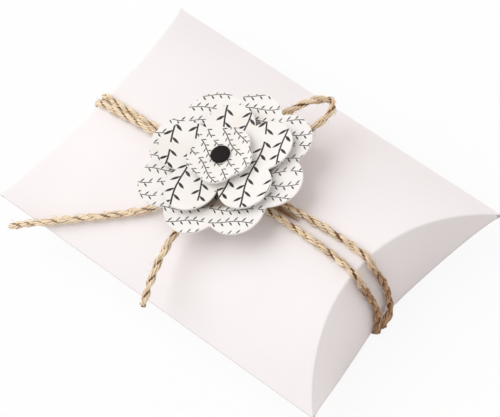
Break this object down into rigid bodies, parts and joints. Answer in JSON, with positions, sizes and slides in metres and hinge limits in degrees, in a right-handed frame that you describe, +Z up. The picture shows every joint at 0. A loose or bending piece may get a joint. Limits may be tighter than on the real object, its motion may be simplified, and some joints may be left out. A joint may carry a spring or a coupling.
{
  "type": "favor box",
  "caption": "Pillow-shaped folded card favor box with curved end flaps, tied lengthwise with jute twine and trimmed with a layered paper flower.",
  "frame": {"origin": "middle of the box, on the surface that it stands on", "axes": "+X along the box towards the end that the picture shows, +Y across the box, +Z up through the flower"},
  "size_m": [0.09, 0.0585, 0.0279],
  "materials": {
    "card": "smooth matt white card",
    "jute": "two-ply natural jute twine",
    "petal_paper": "printed off-white paper",
    "foam": "white adhesive foam",
    "fastener_steel": "thin bent steel",
    "fastener_black": "black enamel"
  },
  "bodies": {
    "box": {"top_panel": "card", "bottom_panel": "card", "glue_tab": "card"},
    "right_outer_flap": {"right_outer_flap": "card"},
    "left_outer_flap": {"left_outer_flap": "card"},
    "right_inner_flap": {"right_inner_flap": "card"},
    "left_inner_flap": {"left_inner_flap": "card"},
    "tie": {"twine_wrap": "jute", "twine_knot": "jute", "bow_loop": "jute", "left_tail": "jute", "near_tail": "jute", "flower_pad": "foam", "fastener_legs": "fastener_steel", "base_spacer": "foam", "middle_spacer": "foam", "fastener_head": "fastener_black"},
    "flower_base": {"flower_base": "petal_paper"},
    "flower_middle": {"flower_middle": "petal_paper"},
    "flower_top": {"flower_top": "petal_paper"}
  },
  "joints": [
    {"name": "tie_slip", "type": "slide", "parent": "box", "child": "tie", "axis": [0, -1, 0], "range_m": [0, 0.06], "deforming": ["twine_wrap"]},
    {"name": "right_outer_fold", "type": "hinge", "parent": "box", "child": "right_outer_flap", "pos_m": [0.0357, 0, 0.01995], "axis": [0, -1, 0], "range_deg": [0, 90]},
    {"name": "left_outer_fold", "type": "hinge", "parent": "box", "child": "left_outer_flap", "pos_m": [-0.0357, 0, 0.01995], "axis": [0, 1, 0], "range_deg": [0, 90]},
    {"name": "right_inner_fold", "type": "hinge", "parent": "box", "child": "right_inner_flap", "pos_m": [0.03495, 0, 0.0023], "axis": [0, -1, 0], "range_deg": [0, 80]},
    {"name": "left_inner_fold", "type": "hinge", "parent": "box", "child": "left_inner_flap", "pos_m": [-0.03495, 0, 0.0023], "axis": [0, 1, 0], "range_deg": [0, 80]},
    {"name": "base_turn", "type": "hinge", "parent": "tie", "child": "flower_base", "pos_m": [-0.0004, 0.0006, 0.0245], "axis": [0, 0, 1], "continuous": true},
    {"name": "middle_turn", "type": "hinge", "parent": "tie", "child": "flower_middle", "pos_m": [-0.0004, 0.0006, 0.026], "axis": [0, 0, 1], "continuous": true},
    {"name": "top_turn", "type": "hinge", "parent": "tie", "child": "flower_top", "pos_m": [-0.0004, 0.0006, 0.0272], "axis": [0, 0, 1], "continuous": true}
  ],
  "couplings": [
    {"joint": "right_outer_fold", "follows": "tie_slip", "rad_per_m": 26.1},
    {"joint": "left_outer_fold", "follows": "tie_slip", "rad_per_m": 26.1}
  ]
}
